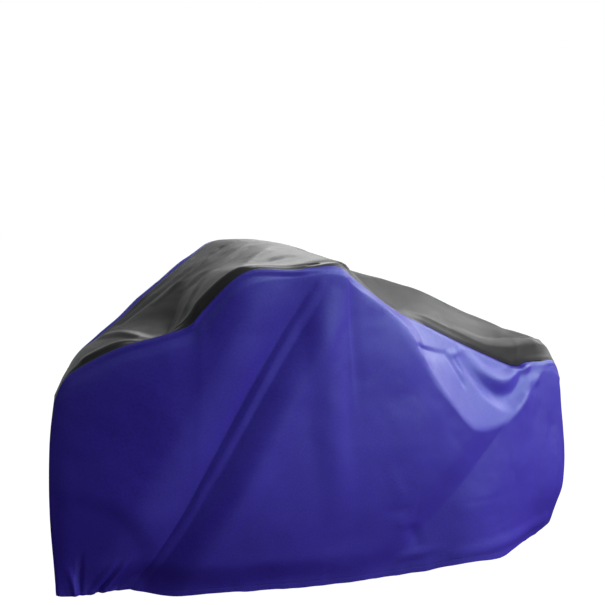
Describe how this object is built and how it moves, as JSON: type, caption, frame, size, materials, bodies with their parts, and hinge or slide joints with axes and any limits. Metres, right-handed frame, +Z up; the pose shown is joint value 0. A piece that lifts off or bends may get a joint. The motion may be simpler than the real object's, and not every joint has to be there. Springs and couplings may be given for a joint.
{
  "type": "motorcycle cover",
  "caption": "Fitted motorcycle cover, draped over a machine: blue side panels, black centre panel from the front hem over the handlebar and seat to the rear hem, gathered hem, open below.",
  "frame": {"origin": "the spot under the centre panel where it rests on the middle of the handlebar", "axes": "+X towards the rear of the motorcycle, +Y towards the rider's right, +Z up"},
  "size_m": [2.022, 0.7299, 1.0601],
  "materials": {
    "blue_cloth": "coated woven polyester, soft sheen",
    "black_cloth": "coated woven polyester, soft sheen"
  },
  "bodies": {
    "root": {"left_side_panel": "blue_cloth", "right_side_panel": "blue_cloth", "centre_panel": "black_cloth"}
  },
  "joints": []
}
